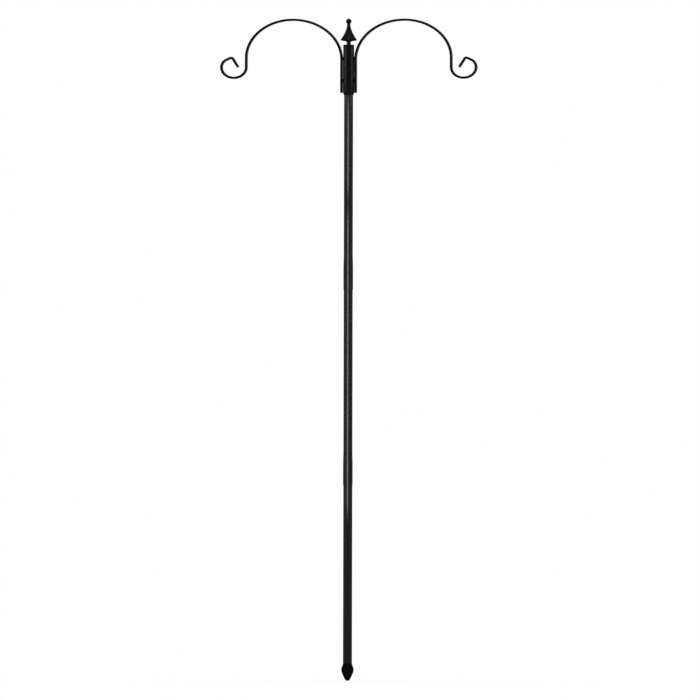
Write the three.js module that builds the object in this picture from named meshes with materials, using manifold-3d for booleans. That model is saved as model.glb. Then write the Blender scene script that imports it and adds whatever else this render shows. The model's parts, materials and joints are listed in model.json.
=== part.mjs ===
// A hanging pole for plants: three tubes that socket together, the lowest with a spade point for the soil,
// and a swivelling head with two mirrored arms, each an arch that ends in a scroll hook, under a spear finial.
// Millimetres, +Z up. The origin is on the pole's axis at the soil line. Heights are measured from the tip of
// the spade until the last group sets the whole pole into the soil.
import * as THREE from 'three';
import { mergeVertices } from 'three/addons/utils/BufferGeometryUtils.js';
import Module from 'manifold-3d';

const wasm = await Module();
wasm.setup();

// Driving dimensions

// The pole and its three equal tubes
const SOIL_DEPTH = 300;
const TUBE_DIAMETER = 25;
const TUBE_WALL = 0.7;
const TUBE_LENGTH = 600;
const SOCKET_DEPTH = 56.4;
const SOCKET_CLEARANCE = 0.15;
const BELL_TAPER = 40;

// The spade point at the bottom. Its flare is how far it stands out sideways beyond the round tube.
const SPADE_FLARE = 5.2;
const SPADE_SHOULDER = 31.7;
const SPADE_LENGTH = 50;
const SPADE_HALF_ANGLE = THREE.MathUtils.degToRad(25);
const SPADE_EDGE_ROUNDING = 5.4;
const SPADE_TIP_RADIUS = 8.9;
const SPADE_TIP_BLUNT = THREE.MathUtils.degToRad(9);

// The plug in the pole's top
const PLUG_FLANGE = 2;
const PLUG_DEPTH = 14;
const PLUG_WALL = 2;
const PLUG_CLEARANCE = 0.15;

// The sleeve round the pole's top
const SLEEVE_CLEARANCE = 0.4;
const SLEEVE_WALL = 2.35;
const SLEEVE_ENGAGEMENT = 59.8;
const SLEEVE_LENGTH = 137.2;
const SLEEVE_LIP_TAPER = 8;
const SLEEVE_LIP_WALL = 0.5;
const STOP_THICKNESS = 3;
const CAP_THICKNESS = 2.5;
const CAP_SPIGOT = 3;
const CAP_EDGE_RADIUS = 2;
const INSERT_CLEARANCE = 0.3;

// The finial and its screw
const STUD_DIAMETER = 6;
const STUD_CLEARANCE = 0.3;
const STUD_PROUD = 2;
const STUD_IN_FINIAL = 20;
const NUT_ACROSS_FLATS = 10;
const NUT_HEIGHT = 5;
const WASHER_DIAMETER = 13;
const WASHER_THICKNESS = 1.6;
const NECK_DIAMETER = 11.6;
const NECK_HEIGHT = 5;
const FINIAL_UNDERSIDE = 6;
const SPEAR_RIM = 1;
const SPEAR_HALF_DIAGONAL = 22.5;
const SPEAR_HEIGHT = 45.3;
const SPEAR_WAIST = 24.4;
const SPEAR_TIP_HALF_DIAGONAL = 4.4;
const BALL_DIAMETER = 15.4;
const BALL_SINK = 2.3;
const FINIAL_TURN = THREE.MathUtils.degToRad(13);

// The arms: a flat bar bent in one plane
const BAR_DEPTH = 12;
const BAR_THICKNESS = 6.4;
const BAR_CHAMFER = 0.8;
const LEG_GAP = 1.5;
const LEG_FOOT_RISE = 5.8;
const SPRING_BELOW_TOP = 33.8;
const ARCH_INNER_SPAN = 139.1;
const ARCH_OUTER_SPAN = 133.1;
const ARCH_INNER_RISE = 110.5;
const ARCH_RISE = 105.8;
const DROP = 26.1;
const SCROLL_HALF_WIDTH = 35.4;
const SCROLL_DEPTH = 29.2;
const SCROLL_OUTER_RADIUS = 22.3;
const SCROLL_OUTER_ANGLE = THREE.MathUtils.degToRad(65);
const SCROLL_RAMP = 13.3;
const CURL_INNER_RADIUS = 3;
const CURL_ANGLE = THREE.MathUtils.degToRad(82);
const TAIL_LENGTH = 27.5;

// The welds between an arm's leg and the sleeve. The upper one's top is a little above the arch's spring.
const WELD_HEIGHT = 10;
const WELD_WIDTH = 9;
const LOWER_WELD_RISE = 34.2;
const UPPER_WELD_RISE = 2.5;

// How round shapes are divided
const SIDES = 32;
const SMALL_SIDES = 20;
const ARCH_STEPS = 14;
const SCROLL_STEPS = 15;
const OUTER_STEPS = 7;
const CURL_STEPS = 6;
const SPADE_STEPS = 5;
const SPEAR_STEPS = 12;
const EDGE_STEPS = 4;

// The gap between pieces that rest on each other, and how far a cut runs past the faces it opens
const SEAT_GAP = 0.3;
const OVERCUT = 1;

// Sizes that follow from them
const tubeRadius = TUBE_DIAMETER / 2;
const tubeBore = tubeRadius - TUBE_WALL;
const tubeRise = TUBE_LENGTH - SOCKET_DEPTH;
const poleTop = 2 * tubeRise + TUBE_LENGTH;
const sleeveBore = tubeRadius + SLEEVE_CLEARANCE;
const sleeveRadius = sleeveBore + SLEEVE_WALL;
const sleeveBottom = poleTop - SLEEVE_ENGAGEMENT;
const sleeveTop = sleeveBottom + SLEEVE_LENGTH;
const insertRadius = sleeveBore - INSERT_CLEARANCE;
const flangeBottom = poleTop + SEAT_GAP;
const plugTop = flangeBottom + PLUG_FLANGE;
const capBottom = sleeveTop + SEAT_GAP;
const capTop = capBottom + CAP_THICKNESS;
const spigotBottom = capBottom - CAP_SPIGOT;
const washerBottom = capTop + SEAT_GAP;
const finialBottom = washerBottom + WASHER_THICKNESS + SEAT_GAP;
const studRadius = STUD_DIAMETER / 2;
const studHole = studRadius + STUD_CLEARANCE;
const nutTop = spigotBottom - SEAT_GAP;
const nutBottom = nutTop - NUT_HEIGHT;
const legOffset = sleeveRadius + LEG_GAP + BAR_THICKNESS / 2;
const lipTop = sleeveBottom + SLEEVE_LIP_TAPER;
const legFoot = sleeveBottom + LEG_FOOT_RISE;
const archSpring = sleeveTop - SPRING_BELOW_TOP;

// Materials
const powderCoat = { color: 0x141414, roughness: 0.42, metalness: 0.0 };
const blackCasting = { color: 0x101010, roughness: 0.5, metalness: 0.0 };
const nylon = { color: 0x1c1c1c, roughness: 0.65, metalness: 0.0 };
const zincPlate = { color: 0xb4b6b8, roughness: 0.35, metalness: 0.9 };

const head = new THREE.Group();
const pole = new THREE.Group();

function addPiece(group, name, geometry, finish) {
  const piece = new THREE.Mesh(geometry, new THREE.MeshStandardMaterial(finish));
  piece.name = name;
  group.add(piece);
  return piece;
}

// A body of revolution about Z from (radius, height) pairs that close on themselves or on the axis
function turned(profile, sides = SIDES) {
  const points = profile.map(([radius, height]) => new THREE.Vector2(radius, height));
  const geometry = new THREE.LatheGeometry(points, sides);
  geometry.rotateX(Math.PI / 2);
  return geometry;
}

function rod(radius, bottom, top, sides = SMALL_SIDES) {
  return turned([[0, bottom], [radius, bottom], [radius, top], [0, top]], sides);
}

function washer(radius, bore, bottom, thickness, sides) {
  const top = bottom + thickness;
  return turned([[radius, bottom], [radius, top], [bore, top], [bore, bottom], [radius, bottom]], sides);
}

// A closed skin through rings of points that all run the same way round, capped at both ends
function skin(rings) {
  const sides = rings[0].length;
  const corners = rings.flat();
  const faces = [];
  for (let ring = 0; ring + 1 < rings.length; ring += 1) {
    for (let side = 0; side < sides; side += 1) {
      const next = (side + 1) % sides;
      const a = ring * sides + side;
      const b = ring * sides + next;
      faces.push(a, b, b + sides, a, b + sides, a + sides);
    }
  }
  const last = (rings.length - 1) * sides;
  for (let side = 1; side + 1 < sides; side += 1) {
    faces.push(0, side + 1, side);
    faces.push(last, last + side, last + side + 1);
  }
  const geometry = new THREE.BufferGeometry();
  const positions = corners.flatMap((corner) => corner.toArray());
  geometry.setAttribute('position', new THREE.Float32BufferAttribute(positions, 3));
  geometry.setIndex(faces);
  return geometry;
}

function toSolid(geometry) {
  const bare = geometry.clone();
  bare.deleteAttribute('normal');
  bare.deleteAttribute('uv');
  const merged = mergeVertices(bare, 1e-4);
  return new wasm.Manifold(new wasm.Mesh({
    numProp: 3,
    vertProperties: merged.attributes.position.array,
    triVerts: Uint32Array.from(merged.index.array),
  }));
}

function toGeometry(solid) {
  const mesh = solid.getMesh();
  const geometry = new THREE.BufferGeometry();
  geometry.setAttribute('position', new THREE.BufferAttribute(Float32Array.from(mesh.vertProperties), 3));
  geometry.setIndex(Array.from(mesh.triVerts));
  return geometry;
}

// The lowest tube. Below its round part the tube is pressed flat, where its bore ends, and cut to a point.
function lowerTube() {
  const lean = SPADE_HALF_ANGLE;
  const halfWidth = tubeRadius + SPADE_FLARE;
  const arcEndX = SPADE_TIP_RADIUS * Math.cos(lean);
  const arcEndY = SPADE_TIP_RADIUS * (1 - Math.sin(lean));
  const cornerHeight = arcEndY + (halfWidth - arcEndX) / Math.tan(lean);
  const point = new THREE.Path();
  point.absarc(0, SPADE_TIP_RADIUS, SPADE_TIP_RADIUS, SPADE_TIP_BLUNT - Math.PI / 2, -lean, false);
  point.lineTo(
    halfWidth - SPADE_EDGE_ROUNDING * Math.sin(lean),
    cornerHeight - SPADE_EDGE_ROUNDING * Math.cos(lean),
  );
  point.quadraticCurveTo(halfWidth, cornerHeight, halfWidth, SPADE_SHOULDER);
  const pull = (SPADE_LENGTH - SPADE_SHOULDER) / 3;
  const neck = new THREE.CubicBezierCurve(
    new THREE.Vector2(halfWidth, SPADE_SHOULDER),
    new THREE.Vector2(halfWidth, SPADE_SHOULDER + pull),
    new THREE.Vector2(tubeRadius, SPADE_LENGTH - pull),
    new THREE.Vector2(tubeRadius, SPADE_LENGTH),
  ).getPoints(SPADE_STEPS);

  const shoulderDepth = pressedDepth(halfWidth);
  const pointDepth = (height) => THREE.MathUtils.lerp(TUBE_WALL, shoulderDepth, height / SPADE_SHOULDER);
  const outside = [
    ...point.getPoints(SPADE_STEPS).map((p) => ovalRing(p.x, pointDepth(p.y), p.y)),
    ...neck.slice(1).map((p) => ovalRing(p.x, pressedDepth(p.x), p.y)),
    ovalRing(tubeRadius, tubeRadius, TUBE_LENGTH),
  ];
  const inside = [
    ...neck.map((p) => ovalRing(p.x - TUBE_WALL, pressedDepth(p.x) - TUBE_WALL, p.y)),
    ovalRing(tubeBore, tubeBore, TUBE_LENGTH),
  ];
  return skin([...outside, ...inside.reverse()]);
}

// Half the depth of the tube where it is pressed out to a half width: pressed quite flat, half its girth wide
function pressedDepth(halfWidth) {
  const flatHalfWidth = Math.PI * tubeRadius / 2;
  const pressed = (halfWidth - tubeRadius) / (flatHalfWidth - tubeRadius);
  return Math.max(THREE.MathUtils.lerp(tubeRadius, TUBE_WALL, pressed), TUBE_WALL + SEAT_GAP);
}

function ovalRing(halfWidth, halfDepth, height) {
  const ring = [];
  for (let side = 0; side < SIDES; side += 1) {
    const angle = (side / SIDES) * 2 * Math.PI;
    ring.push(new THREE.Vector3(halfWidth * Math.cos(angle), halfDepth * Math.sin(angle), height));
  }
  return ring;
}

// A tube whose lower end is belled out to go over the plain top of the tube below, down to a step inside
function belledTube(bottom) {
  const socket = tubeRadius + SOCKET_CLEARANCE;
  const bell = socket + TUBE_WALL;
  const step = bottom + SOCKET_DEPTH + SEAT_GAP;
  const top = bottom + TUBE_LENGTH;
  return turned([
    [bell, bottom],
    [bell, step],
    [tubeRadius, step + BELL_TAPER],
    [tubeRadius, top],
    [tubeBore, top],
    [tubeBore, step],
    [socket, step],
    [socket, bottom],
    [bell, bottom],
  ]);
}

function endPlug() {
  const body = tubeBore - PLUG_CLEARANCE;
  const recess = body - PLUG_WALL;
  const plugBottom = flangeBottom - PLUG_DEPTH;
  return turned([
    [0, plugTop],
    [0, flangeBottom],
    [recess, flangeBottom],
    [recess, plugBottom],
    [body, plugBottom],
    [body, flangeBottom],
    [tubeRadius, flangeBottom],
    [tubeRadius, plugTop],
    [0, plugTop],
  ]);
}

// The sleeve's lower edge is drawn in to the pole along a quarter of an ellipse
function sleeve() {
  const lip = sleeveBore + SLEEVE_LIP_WALL;
  const profile = [[sleeveBore, sleeveBottom]];
  const curve = new THREE.EllipseCurve(lip, lipTop, sleeveRadius - lip, SLEEVE_LIP_TAPER, -Math.PI / 2, 0);
  for (const p of curve.getPoints(EDGE_STEPS)) {
    profile.push([p.x, p.y]);
  }
  profile.push([sleeveRadius, sleeveTop], [sleeveBore, sleeveTop], [sleeveBore, sleeveBottom]);
  return turned(profile);
}

function cap() {
  const profile = [[studHole, capTop], [studHole, spigotBottom], [insertRadius, spigotBottom]];
  profile.push([insertRadius, capBottom], [sleeveRadius, capBottom]);
  const round = CAP_EDGE_RADIUS;
  const edge = new THREE.EllipseCurve(sleeveRadius - round, capTop - round, round, round, 0, Math.PI / 2);
  for (const p of edge.getPoints(EDGE_STEPS)) {
    profile.push([p.x, p.y]);
  }
  profile.push([studHole, capTop]);
  return turned(profile);
}

// A spear of square section on a round neck, with a ball on its tip. It is screwed home at a slight turn.
function finial() {
  const neckTop = finialBottom + NECK_HEIGHT;
  const rim = neckTop + FINIAL_UNDERSIDE;
  const base = rim + SPEAR_RIM;
  const tip = base + SPEAR_HEIGHT;
  const flank = new THREE.QuadraticBezierCurve(
    new THREE.Vector2(SPEAR_HALF_DIAGONAL, base),
    new THREE.Vector2(SPEAR_TIP_HALF_DIAGONAL, base + SPEAR_WAIST),
    new THREE.Vector2(SPEAR_TIP_HALF_DIAGONAL, tip),
  );
  const spear = toSolid(turned([
    [0, neckTop],
    [NECK_DIAMETER / 2, neckTop],
    [SPEAR_HALF_DIAGONAL, rim],
    ...flank.getPoints(SPEAR_STEPS).map((p) => [p.x, p.y]),
    [0, tip],
  ], 4));
  const ball = new THREE.SphereGeometry(BALL_DIAMETER / 2, SMALL_SIDES, SMALL_SIDES / 2);
  ball.rotateX(Math.PI / 2);
  ball.translate(0, 0, tip + BALL_DIAMETER / 2 - BALL_SINK);
  const neck = rod(NECK_DIAMETER / 2, finialBottom, rim);
  const hole = rod(studHole, finialBottom - OVERCUT, finialBottom + STUD_IN_FINIAL + SEAT_GAP);
  const geometry = toGeometry(spear.add(toSolid(neck)).add(toSolid(ball)).subtract(toSolid(hole)));
  return geometry.rotateZ(FINIAL_TURN);
}

function nut() {
  const body = rod(NUT_ACROSS_FLATS / Math.sqrt(3), nutBottom, nutTop, 6);
  const bore = rod(studHole, nutBottom - OVERCUT, nutTop + OVERCUT);
  return toGeometry(toSolid(body).subtract(toSolid(bore)));
}

// The middle line of the right arm in its own plane, as (distance from the pole's axis, height)
function armLine() {
  const archCentre = legOffset + ARCH_INNER_SPAN;
  const drop = archCentre + ARCH_OUTER_SPAN;
  const innerSpring = archSpring + ARCH_RISE - ARCH_INNER_RISE;
  const scrollLevel = archSpring - DROP;
  const line = [];
  // Each stretch starts at the last one's end, so only the first stretch adds its own start
  const follow = (curve, steps) => {
    for (let step = line.length ? 1 : 0; step <= steps; step += 1) {
      line.push({ at: curve.getPoint(step / steps), along: curve.getTangent(step / steps) });
    }
    return line[line.length - 1];
  };
  const straight = (from, direction, length) => new THREE.LineCurve(
    from.clone(),
    from.clone().addScaledVector(direction, length),
  );
  const bend = (from, direction, radius, angle) => {
    const centre = from.clone().add(new THREE.Vector2(-direction.y, direction.x).multiplyScalar(radius));
    const start = Math.atan2(from.y - centre.y, from.x - centre.x);
    return new THREE.EllipseCurve(centre.x, centre.y, radius, radius, start, start + angle);
  };
  const up = new THREE.Vector2(0, 1);
  const rising = new THREE.EllipseCurve(
    archCentre, innerSpring, ARCH_INNER_SPAN, ARCH_INNER_RISE, Math.PI, Math.PI / 2, true,
  );
  const falling = new THREE.EllipseCurve(
    archCentre, archSpring, ARCH_OUTER_SPAN, ARCH_RISE, Math.PI / 2, 0, true,
  );
  const scroll = new THREE.EllipseCurve(
    drop + SCROLL_HALF_WIDTH, scrollLevel, SCROLL_HALF_WIDTH, SCROLL_DEPTH, Math.PI, 2 * Math.PI,
  );
  const curlRadius = CURL_INNER_RADIUS + BAR_THICKNESS / 2;
  follow(straight(new THREE.Vector2(legOffset, legFoot), up, innerSpring - legFoot), 1);
  follow(rising, ARCH_STEPS);
  follow(falling, ARCH_STEPS);
  follow(straight(new THREE.Vector2(drop, archSpring), up, -DROP), 1);
  let end = follow(scroll, SCROLL_STEPS);
  end = follow(bend(end.at, end.along, SCROLL_OUTER_RADIUS, SCROLL_OUTER_ANGLE), OUTER_STEPS);
  end = follow(straight(end.at, end.along, SCROLL_RAMP), 1);
  end = follow(bend(end.at, end.along, curlRadius, CURL_ANGLE), CURL_STEPS);
  follow(straight(end.at, end.along, TAIL_LENGTH), 1);
  return line;
}

// The flat bar along the arm's line: a rectangle with chamfered corners, broad across the plane of the bend
function arm(side) {
  const wide = BAR_DEPTH / 2;
  const thin = BAR_THICKNESS / 2;
  const section = [
    [thin, wide - BAR_CHAMFER],
    [thin - BAR_CHAMFER, wide],
    [BAR_CHAMFER - thin, wide],
    [-thin, wide - BAR_CHAMFER],
    [-thin, BAR_CHAMFER - wide],
    [BAR_CHAMFER - thin, -wide],
    [thin - BAR_CHAMFER, -wide],
    [thin, BAR_CHAMFER - wide],
  ];
  const order = side < 0 ? section : section.slice().reverse();
  return skin(armLine().map(({ at, along }) => order.map(([across, deep]) => new THREE.Vector3(
    side * (at.x - along.y * across),
    deep,
    at.y + along.x * across,
  ))));
}

// A bridge of weld between an arm's leg and the sleeve, its inner face hollowed to the sleeve's curve
function weld(side, top) {
  const outer = legOffset - BAR_THICKNESS / 2;
  const bottom = top - WELD_HEIGHT;
  const block = new THREE.BoxGeometry(outer, WELD_WIDTH, WELD_HEIGHT);
  block.translate(outer / 2, 0, (bottom + top) / 2);
  const hollow = rod(sleeveRadius + SEAT_GAP, bottom - OVERCUT, top + OVERCUT, SIDES);
  const geometry = toGeometry(toSolid(block).subtract(toSolid(hollow)));
  return side < 0 ? geometry.rotateZ(Math.PI) : geometry;
}

addPiece(pole, 'lower_tube', lowerTube(), powderCoat);
addPiece(pole, 'middle_tube', belledTube(tubeRise), powderCoat);
addPiece(pole, 'upper_tube', belledTube(2 * tubeRise), powderCoat);
addPiece(pole, 'pole_end_plug', endPlug(), nylon);

addPiece(head, 'head_sleeve', sleeve(), powderCoat);
addPiece(
  head,
  'stop_disc',
  washer(insertRadius, studHole, plugTop + SEAT_GAP, STOP_THICKNESS, SIDES),
  powderCoat,
);
addPiece(head, 'sleeve_cap', cap(), powderCoat);
addPiece(head, 'finial', finial(), blackCasting);
addPiece(
  head,
  'finial_washer',
  washer(WASHER_DIAMETER / 2, studHole, washerBottom, WASHER_THICKNESS, SMALL_SIDES),
  blackCasting,
);
addPiece(
  head,
  'finial_stud',
  rod(studRadius, nutBottom - STUD_PROUD, finialBottom + STUD_IN_FINIAL),
  zincPlate,
);
addPiece(head, 'finial_nut', nut(), zincPlate);
for (const [name, side] of [['left', -1], ['right', 1]]) {
  addPiece(head, `${name}_arm`, arm(side), powderCoat);
  addPiece(head, `${name}_upper_weld`, weld(side, archSpring + UPPER_WELD_RISE), powderCoat);
  addPiece(head, `${name}_lower_weld`, weld(side, legFoot + LOWER_WELD_RISE + WELD_HEIGHT / 2), powderCoat);
}

const hangingPole = new THREE.Group();
hangingPole.add(pole, head);
hangingPole.position.z = -SOIL_DEPTH;

export default hangingPole;
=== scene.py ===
# A black two-arm hanging pole for plants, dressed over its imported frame.
# Metres, +Z up. The origin is on the pole's axis at the soil line.
import json
import math

import bmesh
import bpy
from mathutils import Matrix, Vector


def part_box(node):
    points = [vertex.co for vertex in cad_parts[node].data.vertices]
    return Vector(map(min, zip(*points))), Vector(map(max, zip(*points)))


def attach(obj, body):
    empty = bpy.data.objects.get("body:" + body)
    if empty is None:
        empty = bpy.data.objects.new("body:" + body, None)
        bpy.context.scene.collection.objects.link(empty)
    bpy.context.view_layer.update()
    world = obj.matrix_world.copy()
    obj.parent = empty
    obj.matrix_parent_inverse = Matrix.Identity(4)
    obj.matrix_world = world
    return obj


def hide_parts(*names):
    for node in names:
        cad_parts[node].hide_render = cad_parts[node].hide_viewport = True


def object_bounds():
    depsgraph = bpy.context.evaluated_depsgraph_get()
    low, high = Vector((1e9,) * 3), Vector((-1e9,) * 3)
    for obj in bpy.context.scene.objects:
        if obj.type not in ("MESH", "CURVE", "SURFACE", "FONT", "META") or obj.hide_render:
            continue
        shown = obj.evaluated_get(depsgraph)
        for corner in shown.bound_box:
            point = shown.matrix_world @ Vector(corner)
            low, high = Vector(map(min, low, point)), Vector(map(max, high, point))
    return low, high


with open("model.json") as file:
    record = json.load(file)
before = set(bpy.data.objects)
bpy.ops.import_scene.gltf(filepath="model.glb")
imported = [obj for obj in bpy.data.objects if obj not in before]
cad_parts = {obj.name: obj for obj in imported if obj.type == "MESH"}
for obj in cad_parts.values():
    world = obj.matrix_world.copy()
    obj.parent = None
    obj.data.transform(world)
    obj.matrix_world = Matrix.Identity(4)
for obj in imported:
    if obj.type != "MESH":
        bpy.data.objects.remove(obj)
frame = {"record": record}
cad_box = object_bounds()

MM = 0.001

# How finely round shapes are divided, and when two points are one
SIDES = 96
SMALL_SIDES = 48
ROUND_STEPS = 5
SHARP_ANGLE = math.radians(38)
LONGEST_ROUND = 0.45
SAME_PLACE = 1e-7
SHORTEST_STEP = 1e-6

# The gaps that the solids leave where pieces meet
SEAT_GAP = 0.3 * MM
INSERT_CLEARANCE = 0.3 * MM

# Tubes
TUBE_WALL = 0.7 * MM
RIM_ROUND = 0.25 * MM
SOCKET_DEPTH = 56.4 * MM + SEAT_GAP
BELL_TAPER = 40 * MM
BELL_EASE = 0.35
BELL_WALL = 0.7 * MM
SEAM_HEIGHT = 0.07 * MM
SEAM_ANGLE = math.radians(62)

# The spade point
SPADE_SHOULDER = 31.7 * MM
SPADE_LENGTH = 50 * MM
# Up to this height above the tip the spade takes the darker copy of the coat: painted shade on its flat
# faces.
SPADE_PAINTED_SHADE_TOP = 48.3 * MM
SPADE_HALF_ANGLE = math.radians(25)
SPADE_EDGE_ROUNDING = 5.4 * MM
SPADE_TIP_RADIUS = 8.9 * MM
SPADE_TIP_BLUNT = math.radians(9)
DIP_DEPTH = 0.42
DIP_WIDTH = 0.42

# The sleeve, its cap and what is inside
LIP_TAPER = 8 * MM
LIP_WALL = 0.5 * MM
BORE_CLEARANCE = 0.4 * MM
CAP_ROUND = 2 * MM
EDGE_ROUND = 0.4 * MM
PLUG_WALL = 2 * MM
PLUG_DEPTH = 14 * MM
PLUG_CLEARANCE = 0.15 * MM

# The finial and its screw. The spear's underside is a curve from the neck to the rim.
STUD_HOLE = 3.3 * MM
STUD_IN_FINIAL = 20 * MM + SEAT_GAP
NECK_RADIUS = 5.8 * MM
NECK_HEIGHT = 5 * MM
FINIAL_UNDERSIDE = 4.3 * MM
UNDERSIDE_NECK_PULL = 0.45
UNDERSIDE_RIM_PULL = 0.8
UNDERSIDE_RIM_DROP = 0.3
UNDERSIDE_SQUARING = 1.6
SPEAR_RIM = 2.7 * MM
SPEAR_HALF_DIAGONAL = 22.5 * MM
SPEAR_HEIGHT = 45.3 * MM
SPEAR_WAIST = 24.4 * MM
SPEAR_TIP_HALF_DIAGONAL = 4.4 * MM
SPEAR_ROUNDNESS = 0.3
BALL_RADIUS = 7.7 * MM
FINIAL_TURN = math.radians(13)
THREAD_PITCH = 1 * MM
THREAD_DEPTH = 0.5 * MM
THREAD_STEPS = 6
STUD_CHAMFER = 0.8 * MM
NUT_ACROSS_FLATS = 10 * MM
NUT_CHAMFER = 0.6 * MM

# The arms
BAR_THICKNESS = 6.4 * MM
BAR_CORNER = 1.0 * MM
BAR_END_EDGE = 0.6 * MM
BAR_END_ROUNDNESS = 0.3
SPRING_BELOW_TOP = 33.8 * MM
ARCH_INNER_SPAN = 139.1 * MM
ARCH_OUTER_SPAN = 133.1 * MM
ARCH_INNER_RISE = 110.5 * MM
ARCH_RISE = 105.8 * MM
DROP = 26.1 * MM
SCROLL_HALF_WIDTH = 35.4 * MM
SCROLL_DEPTH = 29.2 * MM
SCROLL_OUTER_RADIUS = 22.3 * MM
SCROLL_OUTER_ANGLE = math.radians(65)
SCROLL_RAMP = 13.3 * MM
CURL_RADIUS = 6.2 * MM
CURL_ANGLE = math.radians(82)
TAIL_LENGTH = 27.5 * MM
BEND_STEP = math.radians(2.5)

# The welds
WELD_BITE = 0.25 * MM
WELD_RIPPLES = 5
WELD_RIPPLE_STEPS = 8
WELD_RIPPLE_HEIGHT = 0.22 * MM
WELD_CROWN = 0.9 * MM
WELD_END_FULLNESS = 0.25

# Most of a noise texture's values lie in this span
NOISE_SPAN = (0.3, 0.7)

# The powder coats: noise scales per metre, and what is the same in all three
CLOUD_SCALE = 45
CLOUD_SPAN = (0.35, 0.65)
SPECK_SCALE = 620
SPECK_SPAN = (0.70, 0.78)
BROAD_PEEL_SCALE = 210
BROAD_PEEL_STRENGTH = 0.25
BROAD_PEEL_HEIGHT = 0.4 * MM
FINE_PEEL_SCALE = 1100
FINE_PEEL_STRENGTH = 0.35
FINE_PEEL_HEIGHT = 0.15 * MM
DUST_COLOUR = (0.02, 0.0195, 0.019)
DUST_SHARE = 0.35
SLANT_SPAN = (0.25, 0.6)

# What differs: the two blacks that a coat clouds between, and its gloss
TUBE_COAT = {
    "dark": (0.0015, 0.0015, 0.0016),
    "pale": (0.0035, 0.0035, 0.0036),
    "roughness": (0.22, 0.28),
    "specular": 0.14,
    "slant_roughness": 0.65,
}
# A darker, less glossy copy of the tube coat for the head and the spade: its deeper black is painted shade.
PAINTED_SHADE_COAT = {
    "dark": (0.0008, 0.0008, 0.0009),
    "pale": (0.002, 0.002, 0.0021),
    "roughness": (0.22, 0.28),
    "specular": 0.03,
    "slant_roughness": 0,
}
# A still darker copy of the coat for the finial: its deeper black is painted shade on the spear's faces.
PAINTED_SHADE_CAST_COAT = {
    "dark": (0.0004, 0.0004, 0.0004),
    "pale": (0.001, 0.001, 0.001),
    "roughness": (0.18, 0.24),
    "specular": 0.04,
    "slant_roughness": 0.5,
}

# The plug's nylon and the zinc on the finial's screw
NYLON_DARK = (0.024, 0.024, 0.025)
NYLON_PALE = (0.042, 0.042, 0.043)
NYLON_ROUGHNESS = (0.48, 0.64)
NYLON_SPECULAR = 0.4
NYLON_GRAIN_SCALE = 1500
NYLON_FLOW_SCALE = 90
NYLON_GRAIN_STRENGTH = 0.3
NYLON_GRAIN_HEIGHT = 0.1 * MM
ZINC_BRIGHT = (0.60, 0.61, 0.62)
ZINC_DULL = (0.46, 0.47, 0.47)
ZINC_ROUGHNESS = (0.26, 0.46)
ZINC_SPECULAR = 0.5
ZINC_SPANGLE_SCALE = 700
ZINC_STAIN_SCALE = 150
ZINC_STAIN_SPAN = (0.35, 0.7)
ZINC_SPANGLE_STRENGTH = 0.2
ZINC_SPANGLE_HEIGHT = 0.08 * MM

record = frame["record"]
body_of = {node: body for body, nodes in record["behaviour"]["bodies"].items() for node in nodes}
slot_of = {entry["node"]: entry["material_slot"] for entry in record["subparts"]}


# ---- Materials: procedural, in the part's own space ----

def new_material(name, colour, roughness, specular):
    """A material with plain values. Its nodes then vary the colour and the roughness."""
    material = bpy.data.materials.new(name)
    material.use_nodes = True
    shader = material.node_tree.nodes["Principled BSDF"]
    shader.inputs["Base Color"].default_value = (*colour, 1)
    shader.inputs["Roughness"].default_value = roughness
    shader.inputs["Specular IOR Level"].default_value = specular
    return material, shader


def noise(tree, coordinates, scale, detail):
    texture = tree.nodes.new("ShaderNodeTexNoise")
    texture.inputs["Scale"].default_value = scale
    texture.inputs["Detail"].default_value = detail
    tree.links.new(coordinates.outputs["Object"], texture.inputs["Vector"])
    return texture


def map_range(tree, source, span, target):
    """The source with its span mapped to the target's, and held at its ends."""
    node = tree.nodes.new("ShaderNodeMapRange")
    node.inputs["From Min"].default_value = span[0]
    node.inputs["From Max"].default_value = span[1]
    node.inputs["To Min"].default_value = target[0]
    node.inputs["To Max"].default_value = target[1]
    tree.links.new(source, node.inputs["Value"])
    return node.outputs["Result"]


def mix_colour(tree, factor, first, second):
    node = tree.nodes.new("ShaderNodeMix")
    node.data_type = "RGBA"
    for socket, value in zip((node.inputs[6], node.inputs[7]), (first, second)):
        if isinstance(value, tuple):
            socket.default_value = (*value, 1)
        else:
            tree.links.new(value, socket)
    tree.links.new(factor, node.inputs["Factor"])
    return node.outputs[2]


def bump(tree, shader, height, strength, distance, under=None):
    node = tree.nodes.new("ShaderNodeBump")
    node.inputs["Strength"].default_value = strength
    node.inputs["Distance"].default_value = distance
    tree.links.new(height, node.inputs["Height"])
    if under:
        tree.links.new(under.outputs["Normal"], node.inputs["Normal"])
    tree.links.new(node.outputs["Normal"], shader.inputs["Normal"])
    return node


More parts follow.
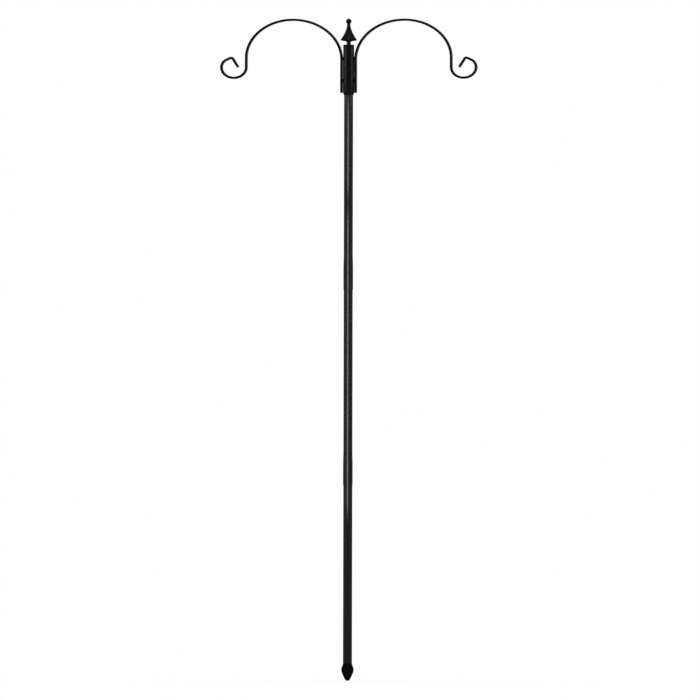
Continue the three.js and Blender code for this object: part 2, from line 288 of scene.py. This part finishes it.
def powder_coat(name, look):
    """Baked powder: near black, with faint clouds, orange peel and specks of dust, and duller at a slant."""
    material, shader = new_material(name, look["dark"], look["roughness"][0], look["specular"])
    tree = material.node_tree
    coordinates = tree.nodes.new("ShaderNodeTexCoord")
    clouds = noise(tree, coordinates, CLOUD_SCALE, detail=4).outputs["Fac"]
    specks = noise(tree, coordinates, SPECK_SCALE, detail=2).outputs["Fac"]
    fine = noise(tree, coordinates, FINE_PEEL_SCALE, detail=2).outputs["Fac"]
    broad = noise(tree, coordinates, BROAD_PEEL_SCALE, detail=2).outputs["Fac"]
    cloud_factor = map_range(tree, clouds, CLOUD_SPAN, (0, 1))
    speck_factor = map_range(tree, specks, SPECK_SPAN, (0, DUST_SHARE))
    clouded = mix_colour(tree, cloud_factor, look["dark"], look["pale"])
    tree.links.new(mix_colour(tree, speck_factor, clouded, DUST_COLOUR), shader.inputs["Base Color"])
    rough = map_range(tree, clouds, NOISE_SPAN, look["roughness"])
    slant = tree.nodes.new("ShaderNodeLayerWeight").outputs["Facing"]
    added = map_range(tree, slant, SLANT_SPAN, (0, look["slant_roughness"]))
    total = tree.nodes.new("ShaderNodeMath")
    total.operation = "ADD"
    tree.links.new(rough, total.inputs[0])
    tree.links.new(added, total.inputs[1])
    tree.links.new(total.outputs["Value"], shader.inputs["Roughness"])
    ripple = bump(tree, shader, broad, BROAD_PEEL_STRENGTH, BROAD_PEEL_HEIGHT)
    bump(tree, shader, fine, FINE_PEEL_STRENGTH, FINE_PEEL_HEIGHT, under=ripple)
    return material


def moulded_nylon():
    """Black nylon with faint flow marks and a fine grain."""
    material, shader = new_material("black_nylon", NYLON_DARK, NYLON_ROUGHNESS[0], NYLON_SPECULAR)
    tree = material.node_tree
    coordinates = tree.nodes.new("ShaderNodeTexCoord")
    grain = noise(tree, coordinates, NYLON_GRAIN_SCALE, detail=3).outputs["Fac"]
    flow = noise(tree, coordinates, NYLON_FLOW_SCALE, detail=2).outputs["Fac"]
    factor = map_range(tree, flow, NOISE_SPAN, (0, 1))
    tree.links.new(mix_colour(tree, factor, NYLON_DARK, NYLON_PALE), shader.inputs["Base Color"])
    rough = map_range(tree, grain, NOISE_SPAN, NYLON_ROUGHNESS)
    tree.links.new(rough, shader.inputs["Roughness"])
    bump(tree, shader, grain, NYLON_GRAIN_STRENGTH, NYLON_GRAIN_HEIGHT)
    return material


def zinc_plate():
    """Zinc plating with a fine spangle and dull stains."""
    material, shader = new_material("zinc_plate", ZINC_BRIGHT, ZINC_ROUGHNESS[0], ZINC_SPECULAR)
    shader.inputs["Metallic"].default_value = 1
    tree = material.node_tree
    coordinates = tree.nodes.new("ShaderNodeTexCoord")
    spangle = noise(tree, coordinates, ZINC_SPANGLE_SCALE, detail=4).outputs["Fac"]
    stain = noise(tree, coordinates, ZINC_STAIN_SCALE, detail=3).outputs["Fac"]
    factor = map_range(tree, stain, ZINC_STAIN_SPAN, (0, 1))
    tree.links.new(mix_colour(tree, factor, ZINC_BRIGHT, ZINC_DULL), shader.inputs["Base Color"])
    rough = map_range(tree, spangle, NOISE_SPAN, ZINC_ROUGHNESS)
    tree.links.new(rough, shader.inputs["Roughness"])
    bump(tree, shader, spangle, ZINC_SPANGLE_STRENGTH, ZINC_SPANGLE_HEIGHT)
    return material


materials = {
    "powder_coat": powder_coat("tube_coat", TUBE_COAT),
    "painted_shade_coat": powder_coat("painted_shade_coat", PAINTED_SHADE_COAT),
    "casting": powder_coat("painted_shade_cast_coat", PAINTED_SHADE_CAST_COAT),
    "nylon": moulded_nylon(),
    "zinc_plate": zinc_plate(),
}


# ---- Mesh building ----

def bezier(points, steps):
    """Points along a Bezier curve of any degree, both ends included."""
    curve = []
    for step in range(steps + 1):
        t = step / steps
        row = list(points)
        while len(row) > 1:
            row = [a.lerp(b, t) for a, b in zip(row, row[1:])]
        curve.append(row[0])
    return curve


def rounded(corners, radius, closed=True):
    """A profile of (radius, height) corners, each turned into a small round. Corners on the axis stay."""
    points = [Vector(corner) for corner in corners]
    count = len(points)
    result = []
    for index, corner in enumerate(points):
        ends = not closed and index in (0, count - 1)
        if ends or corner.x == 0:
            result.append(corner)
            continue
        before = points[index - 1]
        after = points[(index + 1) % count]
        shorter = min((before - corner).length, (after - corner).length)
        size = min(radius, LONGEST_ROUND * shorter)
        start = corner + (before - corner).normalized() * size
        end = corner + (after - corner).normalized() * size
        result.extend(bezier([start, corner, end], ROUND_STEPS))
    return result


def skin(rings, loop=False):
    """A bmesh over rings of points. It closes on itself if loop is set, and else has a face at each end."""
    mesh = bmesh.new()
    rows = [[mesh.verts.new(point) for point in ring] for ring in rings]
    sides = len(rows[0])
    pairs = list(zip(rows, rows[1:]))
    if loop:
        pairs.append((rows[-1], rows[0]))
    for low, high in pairs:
        for side in range(sides):
            after = (side + 1) % sides
            mesh.faces.new((low[side], low[after], high[after], high[side]))
    if not loop:
        mesh.faces.new(rows[0])
        mesh.faces.new(rows[-1])
    return mesh


def add_piece(node, mesh):
    """The mesh as an object that stands for a CAD node: same body and its slot's material, except that
    powder-coated head parts get the darker copy of the coat, which paints shade.
    """
    bmesh.ops.remove_doubles(mesh, verts=mesh.verts, dist=SAME_PLACE)
    bmesh.ops.recalc_face_normals(mesh, faces=mesh.faces)
    data = bpy.data.meshes.new(node + "_look")
    mesh.to_mesh(data)
    mesh.free()
    data.shade_smooth()
    data.set_sharp_from_angle(angle=SHARP_ANGLE)
    piece = bpy.data.objects.new(node + "_look", data)
    bpy.context.scene.collection.objects.link(piece)
    # Powder-coated head parts take the darker, less glossy copy of the coat: painted shade on the head.
    takes_painted_shade = slot_of[node] == "powder_coat" and body_of[node] == "head"
    data.materials.append(materials["painted_shade_coat" if takes_painted_shade else slot_of[node]])
    shading = piece.modifiers.new("weighted_normals", "WEIGHTED_NORMAL")
    shading.keep_sharp = True
    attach(piece, body_of[node])
    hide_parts(node)
    return piece


def turned(profile, radius_at=None):
    """A body turned about Z from (radius, height) points that close on themselves or end on the axis."""
    rings = []
    for point in profile:
        ring = []
        for side in range(SIDES):
            angle = 2 * math.pi * side / SIDES
            radius = radius_at(point, angle) if radius_at else point.x
            ring.append((radius * math.cos(angle), radius * math.sin(angle), point.y))
        rings.append(ring)
    on_axis = profile[0].x == 0
    mesh = skin(rings, loop=not on_axis)
    if on_axis:
        flat = [face for face in mesh.faces if len(face.verts) == SIDES]
        bmesh.ops.delete(mesh, geom=flat, context="FACES_ONLY")
    return mesh


def seam(outer):
    """The tube mill's weld seam: a faint ridge down the outside of the tube, under the paint."""
    width = 2 * math.pi / SIDES

    def radius_at(point, angle):
        on_seam = max(0, 1 - abs(angle - SEAM_ANGLE) / width)
        return point.x + (SEAM_HEIGHT * on_seam if point.x > outer - RIM_ROUND / 2 else 0)
    return radius_at


# ---- The pole ----

low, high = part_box("lower_tube")
tube_radius = high.y
tube_bore = tube_radius - TUBE_WALL
spade_half_width = high.x
tip = low.z
tube_top = high.z


def pressed_depth(half_width):
    """Half the tube's depth where it is pressed out to a half width: flat, it is half its girth wide."""
    pressed = (half_width - tube_radius) / (math.pi * tube_radius / 2 - tube_radius)
    return tube_radius + (TUBE_WALL - tube_radius) * pressed


def oval_ring(half_width, half_depth, height):
    """A pressed tube's section: an oval that dips along its middle where it is pressed flatter."""
    pressed = 1 - half_depth / tube_radius
    ring = []
    for side in range(SIDES):
        angle = 2 * math.pi * side / SIDES
        across = math.cos(angle)
        dip = 1 - DIP_DEPTH * pressed * math.exp(-((across / DIP_WIDTH) ** 2))
        ring.append((half_width * across, half_depth * math.sin(angle) * dip, height))
    return ring


def lower_tube():
    """The bottom tube: a round-tipped spade point, pressed flat, that opens out into the round tube."""
    lean = SPADE_HALF_ANGLE
    arc_end = Vector((SPADE_TIP_RADIUS * math.cos(lean), SPADE_TIP_RADIUS * (1 - math.sin(lean))))
    corner = Vector((spade_half_width, arc_end.y + (spade_half_width - arc_end.x) / math.tan(lean)))
    start = SPADE_TIP_BLUNT - math.pi / 2
    point = []
    for step in range(3 * ROUND_STEPS + 1):
        angle = start + (-lean - start) * step / (3 * ROUND_STEPS)
        point.append(SPADE_TIP_RADIUS * Vector((math.cos(angle), 1 + math.sin(angle))))
    edge_end = corner - SPADE_EDGE_ROUNDING * Vector((math.sin(lean), math.cos(lean)))
    shoulder = Vector((spade_half_width, SPADE_SHOULDER))
    point += bezier([arc_end, edge_end], 2 * ROUND_STEPS)[1:]
    point += bezier([edge_end, corner, shoulder], 2 * ROUND_STEPS)[1:]
    pull = Vector((0, (SPADE_LENGTH - SPADE_SHOULDER) / 3))
    neck_top = Vector((tube_radius, SPADE_LENGTH))
    neck = bezier([shoulder, shoulder + pull, neck_top - pull, neck_top], 3 * ROUND_STEPS)

    shoulder_depth = pressed_depth(spade_half_width)
    outside = []
    for p in point:
        depth = TUBE_WALL + (shoulder_depth - TUBE_WALL) * p.y / SPADE_SHOULDER
        outside.append(oval_ring(p.x, depth, tip + p.y))
    outside += [oval_ring(p.x, pressed_depth(p.x), tip + p.y) for p in neck[1:]]
    inside = [oval_ring(p.x - TUBE_WALL, pressed_depth(p.x) - TUBE_WALL, tip + p.y) for p in neck]
    rim = rounded([
        (tube_radius, tip + SPADE_LENGTH),
        (tube_radius, tube_top),
        (tube_bore, tube_top),
        (tube_bore, tip + SPADE_LENGTH),
    ], RIM_ROUND, closed=False)
    top = [oval_ring(p.x, p.x, p.y) for p in rim[1:-1]]
    return skin(outside + top + inside[::-1])


def belled_tube(node):
    """A tube with its lower end belled out over the tube below, down to a step inside."""
    low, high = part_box(node)
    bell = high.x
    socket = bell - BELL_WALL
    step = low.z + SOCKET_DEPTH
    cone = [
        Vector((bell, step)),
        Vector((bell, step + BELL_EASE * BELL_TAPER)),
        Vector((tube_radius, step + (1 - BELL_EASE) * BELL_TAPER)),
        Vector((tube_radius, step + BELL_TAPER)),
    ]
    shape = [(socket, low.z), (bell, low.z)]
    shape += [tuple(p) for p in bezier(cone, 2 * ROUND_STEPS)]
    shape += [(tube_radius, high.z), (tube_bore, high.z), (tube_bore, step), (socket, step)]
    return turned(rounded(shape, RIM_ROUND), radius_at=seam(tube_radius))


def end_plug():
    """A hollow plug with a flange that lies on the tube's rim."""
    low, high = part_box("pole_end_plug")
    flange_bottom = low.z + PLUG_DEPTH
    body = tube_bore - PLUG_CLEARANCE
    recess = body - PLUG_WALL
    shape = [
        (0, high.z),
        (tube_radius, high.z),
        (tube_radius, flange_bottom),
        (body, flange_bottom),
        (body, low.z),
        (recess, low.z),
        (recess, flange_bottom),
        (0, flange_bottom),
    ]
    return turned(rounded(shape, EDGE_ROUND))


lower_piece = add_piece("lower_tube", lower_tube())
# The spade takes the darker copy of the coat as a second material: painted shade, darker than the tube
# above.
lower_piece.data.materials.append(materials["painted_shade_coat"])
for face in lower_piece.data.polygons:
    if face.center.z < tip + SPADE_PAINTED_SHADE_TOP:
        face.material_index = 1
add_piece("middle_tube", belled_tube("middle_tube"))
add_piece("upper_tube", belled_tube("upper_tube"))
add_piece("pole_end_plug", end_plug())


# ---- The sleeve, its cap and the finial ----

sleeve_low, sleeve_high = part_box("head_sleeve")
sleeve_radius = sleeve_high.x
sleeve_bore = tube_radius + BORE_CLEARANCE


def sleeve():
    """The tube round the pole's top, drawn in at its lower edge."""
    lip = sleeve_bore + LIP_WALL
    taper_top = sleeve_low.z + LIP_TAPER
    shape = [(sleeve_bore, sleeve_high.z), (sleeve_bore, sleeve_low.z), (lip, sleeve_low.z)]
    for step in range(1, 2 * ROUND_STEPS):
        angle = math.pi / 2 * step / (2 * ROUND_STEPS)
        out = lip + (sleeve_radius - lip) * math.sin(angle)
        shape.append((out, taper_top - LIP_TAPER * math.cos(angle)))
    shape += [(sleeve_radius, taper_top), (sleeve_radius, sleeve_high.z)]
    return turned(rounded(shape, EDGE_ROUND))


def sleeve_cap():
    """The round-edged plate on the sleeve, with a spigot that sits in the sleeve's bore."""
    low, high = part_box("sleeve_cap")
    plate_bottom = sleeve_high.z + SEAT_GAP
    spigot = sleeve_bore - INSERT_CLEARANCE
    shape = [
        (STUD_HOLE, low.z),
        (spigot, low.z),
        (spigot, plate_bottom),
        (sleeve_radius, plate_bottom),
    ]
    for step in range(2 * ROUND_STEPS + 1):
        angle = math.pi / 2 * step / (2 * ROUND_STEPS)
        out = sleeve_radius - CAP_ROUND * (1 - math.cos(angle))
        shape.append((out, high.z - CAP_ROUND * (1 - math.sin(angle))))
    shape.append((STUD_HOLE, high.z))
    return turned(rounded(shape, EDGE_ROUND))


def flat_ring(node):
    """A washer or disc with a central hole, its corners broken."""
    low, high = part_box(node)
    shape = [(STUD_HOLE, low.z), (high.x, low.z), (high.x, high.z), (STUD_HOLE, high.z)]
    return turned(rounded(shape, EDGE_ROUND))


def corner_ring(half_diagonal, corner_radius, height):
    """A square with its corners to the front and sides, each corner round. Fully round, it is a circle."""
    centre = half_diagonal - corner_radius
    steps = SMALL_SIDES // 4
    ring = []
    for corner in range(4):
        middle = corner * math.pi / 2
        for step in range(steps):
            angle = middle + (step / (steps - 1) - 0.5) * math.pi / 2
            ring.append((
                centre * math.cos(middle) + corner_radius * math.cos(angle),
                centre * math.sin(middle) + corner_radius * math.sin(angle),
                height,
            ))
    return ring


def finial():
    """A spear of square section on a round neck, with a ball on its tip and a blind hole for the stud."""
    low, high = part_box("finial")
    neck_top = low.z + NECK_HEIGHT
    rim = neck_top + FINIAL_UNDERSIDE
    base = rim + SPEAR_RIM
    spear_top = base + SPEAR_HEIGHT
    hole_top = low.z + STUD_IN_FINIAL
    hole = [(STUD_HOLE, hole_top), (STUD_HOLE, low.z)]
    neck = [(NECK_RADIUS, low.z), (NECK_RADIUS, neck_top)]
    rings = [corner_ring(radius, radius, height) for radius, height in hole + neck]
    # The underside flares from the round neck to the square rim
    flare = bezier([
        Vector((NECK_RADIUS, neck_top)),
        Vector((NECK_RADIUS, neck_top + UNDERSIDE_NECK_PULL * FINIAL_UNDERSIDE)),
        Vector((UNDERSIDE_RIM_PULL * SPEAR_HALF_DIAGONAL, rim - UNDERSIDE_RIM_DROP * SPEAR_RIM)),
        Vector((SPEAR_HALF_DIAGONAL, rim)),
    ], 2 * ROUND_STEPS)
    for step, p in enumerate(flare[1:], 1):
        squareness = min(1, UNDERSIDE_SQUARING * step / (len(flare) - 1))
        rings.append(corner_ring(p.x, p.x * (1 - (1 - SPEAR_ROUNDNESS) * squareness), p.y))
    flank = bezier([
        Vector((SPEAR_HALF_DIAGONAL, base)),
        Vector((SPEAR_TIP_HALF_DIAGONAL, base + SPEAR_WAIST)),
        Vector((SPEAR_TIP_HALF_DIAGONAL, spear_top)),
    ], 6 * ROUND_STEPS)
    ball_centre = high.z - BALL_RADIUS
    joint = ball_centre - math.sqrt(BALL_RADIUS ** 2 - SPEAR_TIP_HALF_DIAGONAL ** 2)
    rings += [corner_ring(p.x, SPEAR_ROUNDNESS * p.x, p.y) for p in flank if p.y < joint]
    ball_steps = 5 * ROUND_STEPS
    start = math.acos((ball_centre - joint) / BALL_RADIUS)
    for step in range(ball_steps):
        angle = start + (math.pi - start) * step / ball_steps
        radius = BALL_RADIUS * math.sin(angle)
        rings.append(corner_ring(radius, radius, ball_centre - BALL_RADIUS * math.cos(angle)))
    rings.append([(0, 0, high.z)] * len(rings[0]))
    mesh = skin(rings)
    bmesh.ops.dissolve_degenerate(mesh, edges=mesh.edges, dist=SAME_PLACE)
    turn = Matrix.Rotation(FINIAL_TURN, 3, "Z")
    bmesh.ops.rotate(mesh, verts=mesh.verts, cent=(0, 0, 0), matrix=turn)
    return mesh


def stud():
    """A threaded rod: its radius follows the thread's flanks round and up."""
    low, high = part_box("finial_stud")
    radius = high.x
    steps = round((high.z - low.z) / THREAD_PITCH * THREAD_STEPS)
    rings = []
    for step in range(steps + 1):
        height = low.z + (high.z - low.z) * step / steps
        end = min(height - low.z, high.z - height)
        crest = radius - max(0, STUD_CHAMFER - end)
        ring = []
        for side in range(SMALL_SIDES // 2):
            angle = 4 * math.pi * side / SMALL_SIDES
            phase = (height / THREAD_PITCH - angle / (2 * math.pi)) % 1
            cut = THREAD_DEPTH * (1 - abs(2 * phase - 1))
            thread = min(crest, radius - cut)
            ring.append((thread * math.cos(angle), thread * math.sin(angle), height))
        rings.append(ring)
    return skin(rings)


def nut():
    """A hexagon nut whose corners are turned off at both faces."""
    low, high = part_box("finial_nut")
    flat = NUT_ACROSS_FLATS / 2
    corner = flat / math.cos(math.pi / 6)
    angles = [2 * math.pi * (side + 0.5) / SMALL_SIDES for side in range(SMALL_SIDES)]

    def hexagon(angle, limit):
        turn = (angle - math.pi / 6) % (math.pi / 3) - math.pi / 6
        return min(flat / math.cos(turn), limit)

    levels = [
        (low.z, flat),
        (low.z + NUT_CHAMFER, corner),
        (high.z - NUT_CHAMFER, corner),
        (high.z, flat),
    ]
    rings = []
    for height, limit in levels:
        radii = [hexagon(a, limit) for a in angles]
        rings.append([(r * math.cos(a), r * math.sin(a), height) for r, a in zip(radii, angles)])
    for height in (high.z, low.z):
        rings.append([(STUD_HOLE * math.cos(a), STUD_HOLE * math.sin(a), height) for a in angles])
    return skin(rings, loop=True)


add_piece("head_sleeve", sleeve())
add_piece("sleeve_cap", sleeve_cap())
add_piece("stop_disc", flat_ring("stop_disc"))
add_piece("finial_washer", flat_ring("finial_washer"))
add_piece("finial", finial())
add_piece("finial_stud", stud())
add_piece("finial_nut", nut())


# ---- The arms ----

arm_low, arm_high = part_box("right_arm")
half_bar = BAR_THICKNESS / 2
leg_offset = arm_low.x + half_bar
arch_spring = sleeve_high.z - SPRING_BELOW_TOP


def arm_line():
    """The right arm's middle line in its plane, from foot to tail, as (point, direction) pairs."""
    line = []

    def add(point, direction):
        if not line or (point - line[-1][0]).length > SHORTEST_STEP:
            line.append((point, direction.normalized()))

    def ellipse(centre, across, up, start, sweep):
        steps = max(4, round(abs(sweep) / BEND_STEP))
        for step in range(steps + 1):
            angle = start + sweep * step / steps
            point = centre + Vector((across * math.cos(angle), up * math.sin(angle)))
            heading = Vector((-across * math.sin(angle), up * math.cos(angle)))
            add(point, heading * math.copysign(1, sweep))

    def straight(length):
        point, direction = line[-1]
        add(point + direction * length, direction)

    def bend(radius, sweep):
        point, direction = line[-1]
        centre = point + radius * Vector((-direction.y, direction.x))
        start = math.atan2(point.y - centre.y, point.x - centre.x)
        ellipse(centre, radius, radius, start, sweep)

    arch_centre = leg_offset + ARCH_INNER_SPAN
    inner_spring = arch_spring + ARCH_RISE - ARCH_INNER_RISE
    scroll_centre = arch_centre + ARCH_OUTER_SPAN + SCROLL_HALF_WIDTH
    quarter = math.pi / 2
    add(Vector((leg_offset, arm_low.z)), Vector((0, 1)))
    inner_arch = Vector((arch_centre, inner_spring))
    ellipse(inner_arch, ARCH_INNER_SPAN, ARCH_INNER_RISE, math.pi, -quarter)
    outer_arch = Vector((arch_centre, arch_spring))
    ellipse(outer_arch, ARCH_OUTER_SPAN, ARCH_RISE, quarter, -quarter)
    scroll = Vector((scroll_centre, arch_spring - DROP))
    ellipse(scroll, SCROLL_HALF_WIDTH, SCROLL_DEPTH, math.pi, math.pi)
    bend(SCROLL_OUTER_RADIUS, SCROLL_OUTER_ANGLE)
    straight(SCROLL_RAMP)
    bend(CURL_RADIUS, CURL_ANGLE)
    straight(TAIL_LENGTH)
    return line


def bar_section(shrink):
    """The flat bar's section, (across the bend, along Y), with round corners, shrunk in from all sides."""
    deep = arm_high.y - shrink
    thin = half_bar - shrink
    section = rounded([(thin, -deep), (thin, deep), (-thin, deep), (-thin, -deep)], BAR_CORNER)
    return [(point.x, point.y) for point in section]


def arm(side):
    """The flat bar along the arm's line, its end edges broken. Side is 1 for right and -1 for left."""
    line = arm_line()
    # How much narrower the section is, and how far from the bar's end
    between = BAR_END_ROUNDNESS * BAR_END_EDGE
    broken_edge = [(BAR_END_EDGE, 0), (between, between), (0, BAR_END_EDGE)]
    rings = []

    def ring(point, direction, shrink):
        rings.append([
            (side * (point.x - direction.y * across), deep, point.y + direction.x * across)
            for across, deep in bar_section(shrink)
        ])

    foot, upward = line[0]
    for shrink, inset in broken_edge:
        ring(foot + upward * inset, upward, shrink)
    for point, direction in line[1:-1]:
        ring(point, direction, 0)
    end, heading = line[-1]
    for shrink, inset in reversed(broken_edge):
        ring(end - heading * inset, heading, shrink)
    return skin(rings)


def weld(node):
    """A bead that fills the gap between leg and sleeve, rippled where the arc paused, round at both ends."""
    low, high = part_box(node)
    side = 1 if low.x > 0 else -1
    outer = arm_low.x + WELD_BITE
    inner_radius = sleeve_radius - WELD_BITE
    half_width = high.y
    steps = WELD_RIPPLE_STEPS * WELD_RIPPLES
    rings = []
    for step in range(steps + 1):
        share = step / steps
        height = low.z + (high.z - low.z) * share
        fullness = math.sqrt(max(WELD_END_FULLNESS, 1 - abs(2 * share - 1) ** 3))
        ripple = WELD_RIPPLE_HEIGHT * abs(math.sin(math.pi * WELD_RIPPLES * share))
        half = (half_width - WELD_CROWN - WELD_RIPPLE_HEIGHT) * fullness
        crown = (WELD_CROWN + ripple) * fullness
        inner = math.sqrt(inner_radius ** 2 - half ** 2)
        front = bezier([
            Vector((outer, half)),
            Vector((0.5 * (outer + inner), half + 2 * crown)),
            Vector((inner, half)),
        ], ROUND_STEPS)
        back = [Vector((p.x, -p.y)) for p in reversed(front)]
        section = front + [Vector((inner_radius, 0))] + back
        rings.append([(side * p.x, p.y, height) for p in section])
    return skin(rings)


for name, side in (("left", -1), ("right", 1)):
    add_piece(name + "_arm", arm(side))
    add_piece(name + "_upper_weld", weld(name + "_upper_weld"))
    add_piece(name + "_lower_weld", weld(name + "_lower_weld"))


# ---- Floor, lights and camera ----

# The floor fades into the white surroundings between two distances from the pole
FLOOR_SIZE = 30
FLOOR_COLOUR = 0.93
FLOOR_FADE_START = 0.25
FLOOR_FADE_END = 1.1
WORLD_LIGHT = 0.75

# The camera stands far off, as the photo shows hardly any perspective. The frame spans PHOTO_WIDTH.
PHOTO_WIDTH = 1.9446
CAMERA_DISTANCE = 60.0
CAMERA_X = 5.3 * MM
CAMERA_HEIGHT = 619.2 * MM
CAMERA_YAW = math.radians(13)
CAMERA_ROLL = math.radians(0.12)
CAMERA_REACH = 300
SENSOR = 36.0

# Two columns of lamps in front of the pole, an upper and a lower one each, for the tubes' long highlight.
# A lamp's turn is counted about the pole from the camera's side, and its power is in watts.
FRONT_TURNS = {"left": math.radians(-18), "right": math.radians(-4)}
FRONT_DISTANCE = 0.35
FRONT_WIDTH = 0.09
FRONT_SPREAD = math.radians(26)
UPPER_FRONT_CENTRE = 1.185
UPPER_FRONT_HEIGHT = 0.25
UPPER_FRONT_POWER = 0.04
LOWER_FRONT_CENTRE = 0.587
LOWER_FRONT_HEIGHT = 0.826
LOWER_FRONT_POWER = 0.12

# Three lamps on an arc above the camera's side, for the ridge of the finial's curved spear
FINIAL_LAMP_RISES = {
    "low": math.radians(32),
    "middle": math.radians(50),
    "high": math.radians(68),
}
FINIAL_LAMP_DISTANCE = 0.5
FINIAL_LAMP_AIM = 1.49
FINIAL_LAMP_WIDTH = 0.1
FINIAL_LAMP_HEIGHT = 0.2
FINIAL_LAMP_SPREAD = math.radians(30)
FINIAL_LAMP_POWER = 0.055

# Four lamps to the sides of the head, for the edges of the sleeve and the arms
SIDE_TURNS = {
    "left_rear": math.radians(-80),
    "left": math.radians(-62),
    "right": math.radians(62),
    "right_rear": math.radians(80),
}
SIDE_DISTANCE = 0.8
SIDE_CENTRE = 1.42
SIDE_WIDTH = 0.3
SIDE_HEIGHT = 0.12
SIDE_SPREAD = math.radians(22)
SIDE_POWER = 0.05


def seen_ray(tree):
    """1 for a ray that shows the surroundings: from the camera, in a reflection or through glass. Else 0."""
    path = tree.nodes.new("ShaderNodeLightPath")
    seen = path.outputs["Is Camera Ray"]
    for ray in ("Is Glossy Ray", "Is Transmission Ray"):
        either = tree.nodes.new("ShaderNodeMath")
        either.operation = "MAXIMUM"
        tree.links.new(seen, either.inputs[0])
        tree.links.new(path.outputs[ray], either.inputs[1])
        seen = either.outputs["Value"]
    return seen


def pale_floor():
    """A near-white floor that takes the pole's shadow and fades into the white surroundings further out."""
    data = bpy.data.meshes.new("floor")
    half = FLOOR_SIZE / 2
    outline = [(-half, -half), (half, -half), (half, half), (-half, half)]
    corners = [(x, y, cad_box[0].z) for x, y in outline]
    data.from_pydata(corners, [], [(0, 1, 2, 3)])
    floor = bpy.data.objects.new("floor", data)
    bpy.context.scene.collection.objects.link(floor)
    material = bpy.data.materials.new("pale_floor")
    material.use_nodes = True
    tree = material.node_tree
    tree.nodes.clear()
    output = tree.nodes.new("ShaderNodeOutputMaterial")
    seen = seen_ray(tree)
    lit = tree.nodes.new("ShaderNodeBsdfDiffuse")
    lit.inputs["Color"].default_value = (FLOOR_COLOUR, FLOOR_COLOUR, FLOOR_COLOUR, 1)
    lift = tree.nodes.new("ShaderNodeEmission")
    lift_strength = map_range(tree, seen, (0, 1), (0, 1 - FLOOR_COLOUR * WORLD_LIGHT))
    tree.links.new(lift_strength, lift.inputs["Strength"])
    near = tree.nodes.new("ShaderNodeAddShader")
    tree.links.new(lit.outputs["BSDF"], near.inputs[0])
    tree.links.new(lift.outputs["Emission"], near.inputs[1])
    far = tree.nodes.new("ShaderNodeEmission")
    far_strength = map_range(tree, seen, (0, 1), (WORLD_LIGHT, 1))
    tree.links.new(far_strength, far.inputs["Strength"])
    blend = tree.nodes.new("ShaderNodeMixShader")
    coordinates = tree.nodes.new("ShaderNodeTexCoord")
    level = tree.nodes.new("ShaderNodeVectorMath")
    level.operation = "MULTIPLY"
    level.inputs[1].default_value = (1, 1, 0)
    distance = tree.nodes.new("ShaderNodeVectorMath")
    distance.operation = "LENGTH"
    tree.links.new(coordinates.outputs["Object"], level.inputs[0])
    tree.links.new(level.outputs["Vector"], distance.inputs[0])
    fade = map_range(tree, distance.outputs["Value"], (FLOOR_FADE_START, FLOOR_FADE_END), (0, 1))
    tree.links.new(fade, blend.inputs["Fac"])
    tree.links.new(near.outputs["Shader"], blend.inputs[1])
    tree.links.new(far.outputs["Emission"], blend.inputs[2])
    tree.links.new(blend.outputs["Shader"], output.inputs["Surface"])
    data.materials.append(material)


def soft_box(name, turn, distance, centre, width, height, spread, power, tilt=0):
    """A gridded lamp, not seen itself, that faces the pole level or tilted down."""
    lamp = bpy.data.lights.new(name, "AREA")
    lamp.shape = "RECTANGLE"
    lamp.size = width
    lamp.size_y = height
    lamp.energy = power
    lamp.spread = spread
    light = bpy.data.objects.new(name, lamp)
    angle = CAMERA_YAW + turn
    light.location = (distance * math.sin(angle), -distance * math.cos(angle), centre)
    light.rotation_euler = (math.pi / 2 - tilt, 0, angle)
    light.visible_camera = False
    bpy.context.scene.collection.objects.link(light)


def front_lamps():
    for name, turn in FRONT_TURNS.items():
        soft_box(
            name + "_upper_front", turn, FRONT_DISTANCE, UPPER_FRONT_CENTRE,
            FRONT_WIDTH, UPPER_FRONT_HEIGHT, FRONT_SPREAD, UPPER_FRONT_POWER,
        )
        soft_box(
            name + "_lower_front", turn, FRONT_DISTANCE, LOWER_FRONT_CENTRE,
            FRONT_WIDTH, LOWER_FRONT_HEIGHT, FRONT_SPREAD, LOWER_FRONT_POWER,
        )


def finial_lamps():
    for name, rise in FINIAL_LAMP_RISES.items():
        away = FINIAL_LAMP_DISTANCE * math.cos(rise)
        centre = FINIAL_LAMP_AIM + FINIAL_LAMP_DISTANCE * math.sin(rise)
        soft_box(
            "finial_" + name, 0, away, centre,
            FINIAL_LAMP_WIDTH, FINIAL_LAMP_HEIGHT, FINIAL_LAMP_SPREAD, FINIAL_LAMP_POWER, tilt=rise,
        )


def side_lamps():
    for name, turn in SIDE_TURNS.items():
        soft_box(
            name + "_side", turn, SIDE_DISTANCE, SIDE_CENTRE,
            SIDE_WIDTH, SIDE_HEIGHT, SIDE_SPREAD, SIDE_POWER,
        )


def white_world():
    """White where it is seen, and a little softer as a light."""
    world = bpy.data.worlds.new("studio")
    world.use_nodes = True
    tree = world.node_tree
    background = tree.nodes["Background"]
    background.inputs["Color"].default_value = (1, 1, 1, 1)
    strength = map_range(tree, seen_ray(tree), (0, 1), (WORLD_LIGHT, 1))
    tree.links.new(strength, background.inputs["Strength"])
    bpy.context.scene.world = world


def camera():
    """The photograph's view: level, and from a little to the right of the arms' front."""
    data = bpy.data.cameras.new("camera")
    data.sensor_width = SENSOR
    data.lens = SENSOR * CAMERA_DISTANCE / PHOTO_WIDTH
    data.clip_end = CAMERA_REACH
    view = bpy.data.objects.new("camera", data)
    across = Vector((math.cos(CAMERA_YAW), math.sin(CAMERA_YAW), 0))
    back = Vector((math.sin(CAMERA_YAW), -math.cos(CAMERA_YAW), 0))
    view.location = CAMERA_X * across + CAMERA_DISTANCE * back + Vector((0, 0, CAMERA_HEIGHT))
    view.rotation_euler = (math.pi / 2, -CAMERA_ROLL, CAMERA_YAW)
    bpy.context.scene.collection.objects.link(view)
    bpy.context.scene.camera = view


pale_floor()
white_world()
front_lamps()
finial_lamps()
side_lamps()
camera()
bpy.context.scene.view_settings.view_transform = "Standard"
